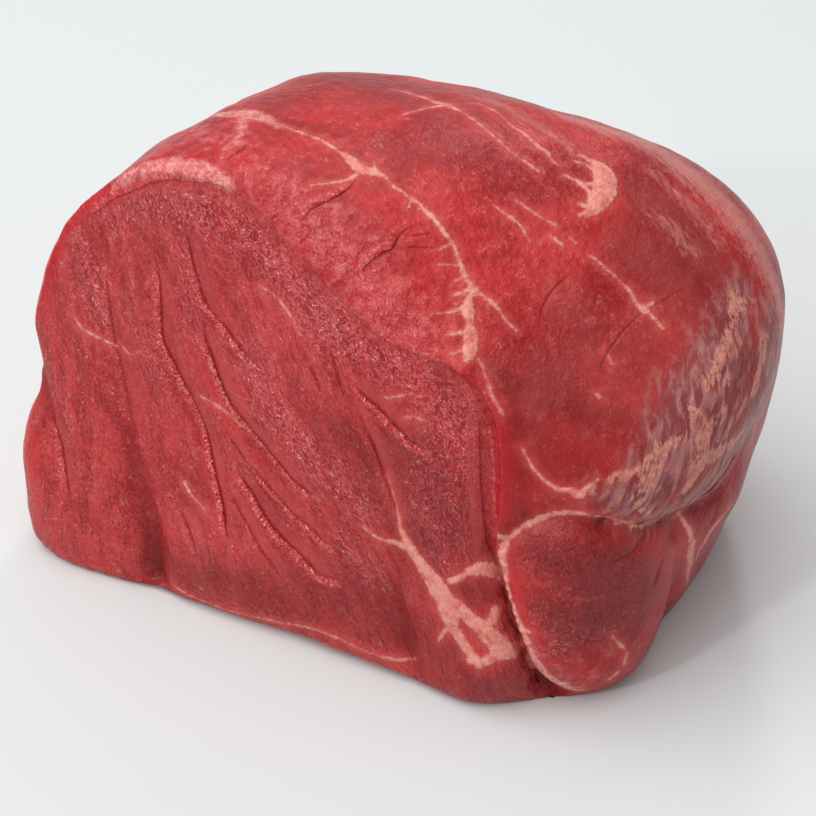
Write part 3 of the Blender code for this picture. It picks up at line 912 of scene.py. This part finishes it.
def flesh_finish():
    """Raw beef: grained flesh, smoother skin side, fat, membrane, painted wet glints and sheen, and painted
    shade low down and in its wet folds.
    """
    flesh = Finish("raw_beef")
    object_place = flesh.node("ShaderNodeTexCoord", output="Object")
    place = flesh.node("ShaderNodeVectorMath", {"operation": "SCALE"}, {0: object_place, "Scale": 1 / MM})
    turned = flesh.turned(place, "Z", 0.5)
    tilted = flesh.turned(place, "X", 0.64)
    grain = flesh.attribute("grain", "Vector")
    fold = flesh.attribute("fold")

    # Patterns shared by several layers. Uneven is the lumps' pattern with its middle at 0.
    clouds = flesh.noise(place, (22, 16, 16), 2)
    lumps = flesh.noise(place, (2.8, 2.8, 3.6), 3, 0.6)
    fine = flesh.noise(place, (0.8, 0.8, 0.8), 2, 0.6)
    uneven = lumps - 0.5

    # Outer flesh: mottled red, fine pale strands along the muscle, flecks partly painted glint, and small
    # painted wet glints.
    strands = flesh.noise(turned, (6.0, 1.0, 1.4), 3, 0.65, 0.7)
    curls = flesh.noise(place, (1.6, 1.6, 2.0), 1, 0.5, 1.4)
    pink = (flesh.attribute("pink") + uneven * 14.0).step(-6.0, 5.0)
    outer = flesh.blend((0.31, 0.006, 0.009), (0.49, 0.017, 0.018), clouds.step(0.36, 0.64))
    outer = flesh.coated(
        outer,
        ((0.27, 0.005, 0.007), lumps.step(0.50, 0.30) * 0.6),
        ((0.60, 0.080, 0.070), strands.step(0.50, 0.76) * 0.45),
        ((0.74, 0.24, 0.21), strands.ridges(0.028) * lumps.step(0.54, 0.62) * 0.6),
        ((0.88, 0.44, 0.40), fine.step(0.66, 0.74) * lumps.step(0.50, 0.60) * 0.6),
        (flesh.blend((0.52, 0.024, 0.032), (0.68, 0.13, 0.135), lumps.step(0.42, 0.68)), pink * 0.65),
    )

    # Cut face: smooth strips with fine fibres and sparse painted glints, and pebbled strips of curled fibre
    # ends.
    # The curls have painted shade in their dark pits, painted highlight on their pale crests, and small
    # painted glints.
    fibres = flesh.noise(grain, (0.9, 8.0, 1.0), 3, 0.6, 0.6)
    worms = flesh.noise(grain, (1.6, 2.4, 1.0), 1, 0.5, 1.5)
    bundles = flesh.noise(grain, (4.5, 18.0, 1.0), 2, 0.55, 0.5)
    pebbles = flesh.attribute("pebbled")
    pebbled = (pebbles + (bundles - 0.5) * 14.0 + uneven * 8.0).step(-5.0, 4.0)
    strips = (bundles + (fibres - 0.5) * 0.6).step(0.36, 0.62)
    plain = flesh.coated(
        flesh.blend((0.32, 0.011, 0.014), (0.47, 0.027, 0.028), strips),
        ((0.26, 0.006, 0.009), fibres.step(0.44, 0.26) * 0.3),
        ((0.28, 0.007, 0.010), worms.step(0.42, 0.26) * 0.40),
        ((0.60, 0.11, 0.10), worms.ridges(0.10) * 0.34),
        ((0.86, 0.42, 0.39), worms.ridges(0.05) * fine.step(0.60, 0.68) * lumps.step(0.42, 0.56) * 0.8),
        ((0.74, 0.24, 0.22), fibres.ridges(0.05) * lumps.step(0.54, 0.62) * 0.35),
    )
    rough = flesh.coated(
        flesh.blend((0.32, 0.010, 0.014), (0.44, 0.020, 0.024), bundles.step(0.36, 0.64)),
        ((0.22, 0.005, 0.009), worms.step(0.42, 0.24) * 0.7),
        ((0.60, 0.125, 0.13), worms.ridges(0.12) * 0.6),
        ((0.86, 0.42, 0.39), worms.ridges(0.05) * fine.step(0.54, 0.64) * 0.8),
    )
    cut_share = (flesh.attribute("cut_face") + uneven * 12.0).step(-2.0, 4.0)
    skin = flesh.blend(outer, flesh.blend(plain, rough, pebbled), cut_share)

    # Painted shade low down, towards the right and beside the ridge, partly the corner lobe's own darker
    # muscle.
    dark = (flesh.attribute("dark") + uneven * 16.0).step(-9.0, 5.0)
    # Then the outer flesh's curled knobs: painted shade in their pits, painted highlight on their crests, and
    # painted glints.
    knobbly = (pebbles + uneven * 8.0).step(-5.0, 4.0)
    knobs = knobbly * (1 - cut_share)
    # Duller, browner flesh on the right side.
    dull = (flesh.attribute("dull") + uneven * 10.0 + (clouds - 0.5) * 16.0).step(-8.0, 5.0)
    # Bright wet red on the ridge, the edges and the strips beside the grooves. Folds get painted shade,
    # nearly black where deepest.
    bright = (flesh.attribute("bright") + uneven * 5.0).step(-2.0, 1.2)
    skin = flesh.coated(
        skin,
        ((0.15, 0.005, 0.007), dark * (0.5 + knobs * 0.3)),
        ((0.22, 0.004, 0.007), curls.step(0.42, 0.24) * knobs * (0.5 - dark * 0.2)),
        ((0.64, 0.12, 0.115), curls.ridges(0.12) * knobs * (0.5 - dark * 0.35)),
        ((0.90, 0.48, 0.44), curls.ridges(0.05) * fine.step(0.55, 0.64) * knobs * (0.6 - dark * 0.55)),
        ((0.33, 0.052, 0.044), dull * 0.42),
        ((0.50, 0.012, 0.018), bright * 0.55),
        ((0.22, 0.003, 0.006), fold.step(0.5, 3.0) * 0.6),
        ((0.07, 0.002, 0.003), fold.step(3.0, 5.5) * 0.6),
    )

    # Seams: a smooth strip, a dark line of painted shade, and a ruffled bright red cord with ribs across it.
    # The cord's ribs have dark gaps, pale crests of painted highlight, and painted glints.
    places = flesh.attribute("seam", "Vector")
    across = flesh.node("ShaderNodeSeparateXYZ", {}, {"Vector": places})
    ribs = flesh.noise(places, (2.2, 1.5, 1.0), 2, 0.6, 1.2)
    cord = flesh.attribute("seam_cord") * across.step(0.0, 0.35) * (across + uneven * 2.0).step(3.0, 1.6)
    seam_line = flesh.attribute("seam_line")
    line = seam_line * abs(across + (fine - 0.5) * 0.5).step(0.45, 0.10)
    smooth_strip = seam_line * across.step(0.2, -0.8) * across.step(-4.5, -2.4)
    skin = flesh.coated(
        skin,
        ((0.45, 0.050, 0.052), smooth_strip * cut_share * 0.55),
        ((0.52, 0.012, 0.018), cord * 0.75),
        ((0.26, 0.004, 0.008), cord * ribs.step(0.44, 0.28) * 0.7),
        ((0.72, 0.15, 0.14), cord * ribs.ridges(0.12) * 0.65),
        ((0.92, 0.52, 0.48), cord * ribs.ridges(0.05) * fine.step(0.53, 0.61) * 0.9),
        ((0.20, 0.003, 0.006), line * 0.5),
    )

    # Membrane: greyish, streaked, with creamy fat under it.
    streaks = flesh.noise(tilted, (3.0, 1.6, 8.0), 4, 0.62, 0.6)
    patches = flesh.noise(tilted, (44, 20, 50), 3, 0.55, 0.5)
    unseen = flesh.attribute("unseen")
    film_place = flesh.attribute("film") + unseen * patches.step(0.44, 0.70) * 11.0
    film_share = (film_place + (streaks - 0.5) * 12.0).step(-6.0, 5.0)
    film = flesh.coated(
        flesh.blend((0.20, 0.048, 0.050), (0.40, 0.19, 0.185), streaks.step(0.38, 0.66)),
        ((0.58, 0.20, 0.11), lumps.step(0.52, 0.66) * streaks.step(0.46, 0.58)),
    )
    # Sheen: painted reflection, a pale band and streaks along the far edge where the light grazes.
    sheen_share = (flesh.attribute("sheen") + (strands - 0.5) * 12.0).step(-3.0, 4.0)
    # Faint seams between the muscles of the sides that the picture doesn't show.
    courses = flesh.noise(tilted, (70, 34, 60), 1, 0.4, 0.3)
    skin = flesh.coated(
        skin,
        (film, film_share * 0.8),
        ((0.70, 0.28, 0.25), sheen_share * 0.6),
        ((0.60, 0.075, 0.066), courses.ridges(0.035) * unseen * 0.4),
        ((0.72, 0.22, 0.19), courses.ridges(0.008) * unseen * lumps.step(0.40, 0.54) * 0.7),
    )

    # Fat: pale, uneven, with broken edges and a pink haze around it. The lip and the creamy fat are softer.
    feather = flesh.noise(place, (1.3, 1.3, 1.3), 4, 0.7, 0.5)
    broken = (feather - 0.5) * 1.3 + uneven * 1.1
    # Fat and the lip fade where the folds' painted shade is deepest.
    in_the_open = 1 - fold.step(3.0, 6.0) * 0.7
    fat_depth = flesh.attribute("fat")
    haze = (fat_depth + uneven * 4.0).step(-3.0, 0.4)
    fat_share = (fat_depth + broken).step(-0.45, 0.35) * in_the_open
    fat = flesh.coated(
        flesh.blend((0.76, 0.21, 0.16), (0.85, 0.37, 0.30), (feather + uneven * 0.6).step(0.32, 0.70)),
        ((0.60, 0.10, 0.08), lumps.step(0.46, 0.34) * 0.5),
    )
    lip_share = (flesh.attribute("lip") + broken * 1.6).step(-1.2, 1.6) * in_the_open
    lip = flesh.blend((0.68, 0.14, 0.13), (0.88, 0.42, 0.39), (feather + uneven * 0.4).step(0.34, 0.68))
    cream_place = flesh.attribute("cream") + unseen * patches.step(0.52, 0.70) * 4.0
    cream_share = (cream_place + broken + (streaks - 0.5) * 7.0).step(-0.5, 0.5)
    cream = flesh.blend((0.55, 0.17, 0.125), (0.78, 0.34, 0.25), feather.step(0.36, 0.64))
    skin = flesh.coated(
        skin,
        ((0.62, 0.080, 0.068), haze * 0.42),
        (fat, fat_share * 0.85),
        (lip, lip_share * 0.75),
        (cream, cream_share * 0.65),
    )

    # Relief finer than the mesh, in millimetres.
    cut_relief = fibres * 0.3 * (1 - pebbled) + worms.ridges(0.25) * (0.10 + pebbled * 0.10) + bundles * 1.0
    outer_relief = strands * 0.16 + fine * 0.10 + lumps * (0.55 + pink * 0.5)
    outer_relief = outer_relief + curls.ridges(0.25) * knobbly * 0.10
    relief = outer_relief * (1 - cut_share) + cut_relief * cut_share + feather * 0.4 * fat_share
    relief = relief + cord * ribs.ridges(0.3) * 0.35 - line * 0.15
    bump = flesh.node("ShaderNodeBump", {}, {"Strength": 1.0, "Distance": MM, "Height": relief})

    flesh.set(
        Base_Color=skin,
        Roughness=0.26 + fine * 0.18 - cord * 0.08 - bright * 0.10,
        Normal=bump,
        IOR=1.45,
        Specular_IOR_Level=0.34,
    )
    return flesh.material


# Grain of the cut face: each line is a place on the grain, then its places across at the heights.
GRAIN_HEIGHTS = (0, 20, 40, 60, 80, 100, 120)
GRAIN_LINES = {
    0: (-98, -97, -97, -98, -100, -104, -108),
    36: (-45, -48, -56, -62, -69, -77, -85),
    58: (-12, -20, -30, -41, -52, -61, -69),
    86: (34, 24, 8, -10, -28, -41, -50),
    114: (42, 36, 28, 17, 5, -6, -14),
    146: (68, 60, 50, 46, 42, 36, 30),
    190: (110, 104, 98, 94, 90, 86, 80),
}


def grain_places(points):
    """Across and along the fibres of the cut face, in millimetres."""
    lines = np.array([np.interp(points[:, 2], GRAIN_HEIGHTS, line) for line in GRAIN_LINES.values()])
    places = list(GRAIN_LINES)
    across = np.zeros(len(points))
    for number in range(len(places) - 1):
        left, right = lines[number], lines[number + 1]
        share = (points[:, 0] - left) / (right - left)
        inside = (share >= 0) & (share < 1)
        across[inside] = places[number] + share[inside] * (places[number + 1] - places[number])
    return np.column_stack([across, points[:, 2] * 1.2, np.zeros(len(points))])


# The outline of the cut face, seen from the front.
CUT_OUTLINE = [
    (-96, -8), (-95, 30), (-92, 60), (-86, 80), (-73, 102), (-58, 112), (-42, 115.5), (-28, 114), (-12, 105),
    (12, 91.5), (34, 88), (42, 82), (46, 70), (47, 55), (50, 40), (57, 25), (62, 15), (67, -8),
]
# The most that a normal of the cut face may point back, and the depth that is given to the flesh beyond that.
FACES_FRONT = -0.15
FAR_OUTSIDE = -30


def inside_outline(points, normals, outline):
    """How far inside an outline, drawn in the front view, each point is. Flesh that faces away is outside."""
    corners = np.array(outline, dtype=float)
    ends = np.roll(corners, -1, axis=0)
    flat = points[:, [0, 2]]
    nearest = np.full(len(points), np.inf)
    crossings = np.zeros(len(points), dtype=int)
    for start, end in zip(corners, ends):
        side = end - start
        along = np.clip(((flat - start) @ side) / (side @ side), 0, 1)
        away = np.linalg.norm(flat - start - along[:, None] * side, axis=1)
        nearest = np.minimum(nearest, away)
        if start[1] != end[1]:
            spans = (flat[:, 1] > min(start[1], end[1])) & (flat[:, 1] <= max(start[1], end[1]))
            at = start[0] + (flat[:, 1] - start[1]) / (end[1] - start[1]) * side[0]
            crossings += spans & (flat[:, 0] < at)
    inside = np.where(crossings % 2 == 1, nearest, -nearest)
    return np.where(normals[:, 1] < FACES_FRONT, inside, FAR_OUTSIDE)


def add_attribute(data, name, values):
    layer = data.attributes.new(name, "FLOAT", "POINT")
    layer.data.foreach_set("value", values.astype(np.float32))


def add_places(data, name, places):
    layer = data.attributes.new(name, "FLOAT_VECTOR", "POINT")
    layer.data.foreach_set("vector", places.astype(np.float32).ravel())


def placed(name, data):
    """Puts a new object with this data in the scene."""
    made = bpy.data.objects.new(name, data)
    bpy.context.scene.collection.objects.link(made)
    return made


def aimed(made, azimuth, elevation, distance):
    """Looks at the middle of the picture from a compass azimuth, an elevation and a distance in metres."""
    away = Vector(towards(azimuth, elevation))
    made.location = Vector(EYE_TARGET * MM) + away * distance
    made.rotation_euler = away.to_track_quat("Z", "Y").to_euler()


def make_joint():
    """The joint as one closed mesh, with its paint layers as attributes."""
    form = make_ball(FORM_CUTS)
    place_points(form, smooth_form(ball_directions(form)))
    tree = BVHTree.FromBMesh(form)
    form.free()

    creases = {name: draw_on(tree, *crease[:2]) for name, crease in CREASES.items()}
    cracks = {name: draw_on(tree, "picture", crack[0]) for name, crack in CRACKS.items()}
    seams = draw_all(tree, "picture", SEAMS)
    beads = {name: draw_on(tree, "picture", bead[0]) for name, bead in BEADS.items()}
    rims = {name: draw_on(tree, *rim[:2]) for name, rim in RIMS.items()}
    fat = draw_all(tree, "picture", FAT)
    fat += [draw_on(tree, view, corners) for view, paths in FAT_BEHIND.items() for corners in paths]

    drawn = [*cracks.values(), *seams, *beads.values(), *rims.values(), *fat]
    drawn_tree = tree_of(np.vstack([path[:, :3] for path in drawn])[::2])

    mesh = make_ball(MESH_CUTS)
    eye = eye_frame()[0]
    cut_faces(mesh, lambda point: Vector(eye - point).dot(tree.find_nearest(point)[1]) > 0)
    for reach in FINE_REACHES:
        cut_faces(mesh, lambda point: drawn_tree.find(point)[2] < reach)
    points = smooth_form(ball_directions(mesh))
    place_points(mesh, points)
    normals = np.array([vertex.normal for vertex in mesh.verts])

    sunk = np.zeros(len(points))
    for name, path in creases.items():
        sunk += crease_depths(path, points, *CREASES[name][2:])
    # The painted shade of each point: the depth of its creases and cracks, and its seam's dark line.
    fold = sunk.copy()
    for name, path in cracks.items():
        crack = crease_depths(path, points, *CRACKS[name][1:])
        sunk += crack * CRACK_DEPTH
        fold += crack * CRACK_SHADE
    across, along, line, cord = seam_places(seams, points, normals)
    fold += line * np.exp(-np.abs(across) / LINE_SHADE_WIDTH) * LINE_SHADE
    height = wave_heights(points) + lump_heights(points) - sunk
    for name, path in rims.items():
        height += rim_heights(path, points, normals, *RIMS[name][2:]) * RIM_SHARES[name]
    height += seam_heights(across, along, line, cord)
    for name, path in beads.items():
        height += bead_heights(path, points, *BEADS[name][1:])
    fat_depth = inside_strokes(fat, points, FAT_REACH)
    height += np.clip(fat_depth, 0, FAT_DEPTH_LIMIT) * FAT_SWELL

    flat_underneath = np.clip(points[:, 2] / FLAT_HEIGHT, 0, 1)
    shaped = points + normals * (height * flat_underneath)[:, None]
    shaped[:, 2] = np.maximum(shaped[:, 2], 0)
    place_points(mesh, fit_to_box(shaped) * MM)

    data = bpy.data.meshes.new("beef")
    mesh.to_mesh(data)
    mesh.free()
    data.shade_smooth()
    add_attribute(data, "fat", fat_depth)
    add_attribute(data, "fold", fold)
    add_attribute(data, "cut_face", inside_outline(points, normals, CUT_OUTLINE))
    to_eye = eye - points
    facing = np.sum(normals * to_eye, axis=1) / np.linalg.norm(to_eye, axis=1)
    add_attribute(data, "unseen", np.clip(-facing * UNSEEN_FADE, 0, 1))
    add_attribute(data, "seam_line", line)
    add_attribute(data, "seam_cord", cord)
    for name, (reach, strokes) in PAINTS.items():
        laid = draw_all(tree, "picture", strokes)
        add_attribute(data, name, inside_strokes(laid, points, reach))
    add_places(data, "grain", grain_places(points))
    add_places(data, "seam", np.column_stack([across, along, np.zeros(len(points))]))
    data.materials.append(flesh_finish())
    return placed("beef", data)


# Half the side of the floor, in metres.
FLOOR_HALF_SIDE = 3


def plain_floor():
    """A pale floor that the joint lies on."""
    finish = Finish("pale_floor")
    finish.set(Base_Color=(0.70, 0.722, 0.716), Roughness=0.5)
    mesh = bmesh.new()
    bmesh.ops.create_grid(mesh, x_segments=1, y_segments=1, size=FLOOR_HALF_SIDE)
    data = bpy.data.meshes.new("floor")
    mesh.to_mesh(data)
    mesh.free()
    data.materials.append(finish.material)
    floor = placed("floor", data)


def area_light(name, azimuth, elevation, distance, size, watts):
    """A soft square lamp."""
    lamp = bpy.data.lights.new(name, "AREA")
    lamp.size = size
    lamp.energy = watts
    aimed(placed(name, lamp), azimuth, elevation, distance)


def photographer():
    """The camera at the photographer's place."""
    lens = bpy.data.cameras.new("photographer")
    lens.lens = LENS
    lens.sensor_width = SENSOR
    camera = placed("photographer", lens)
    aimed(camera, EYE_AZIMUTH, EYE_ELEVATION, EYE_DISTANCE * MM)
    bpy.context.scene.camera = camera


def studio():
    """Plain soft light from the upper left, two small lamps for wet glints, and pale surroundings."""
    world = bpy.data.worlds.new("studio")
    world.use_nodes = True
    background = world.node_tree.nodes["Background"]
    background.inputs["Color"].default_value = (0.97, 0.98, 1.0, 1.0)
    background.inputs["Strength"].default_value = 0.46
    bpy.context.scene.world = world
    bpy.context.scene.view_settings.view_transform = "Standard"
    area_light("key", 302, 68, 1.8, 2.2, 31)
    area_light("front_glint", 340, 32, 1.2, 0.08, 2.8)
    area_light("back_glint", 195, 44, 1.2, 0.16, 1.7)
    plain_floor()
    photographer()


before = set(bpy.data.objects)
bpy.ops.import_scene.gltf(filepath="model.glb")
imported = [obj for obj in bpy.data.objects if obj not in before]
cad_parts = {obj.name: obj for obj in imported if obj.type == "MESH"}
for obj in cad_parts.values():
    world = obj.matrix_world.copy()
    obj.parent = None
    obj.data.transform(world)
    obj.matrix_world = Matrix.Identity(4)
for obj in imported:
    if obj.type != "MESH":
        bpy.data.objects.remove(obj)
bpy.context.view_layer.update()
box_low, box_high = (np.array(corner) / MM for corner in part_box("beef_joint"))

beef = make_joint()
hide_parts("beef_joint")
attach(beef, "root")
studio()
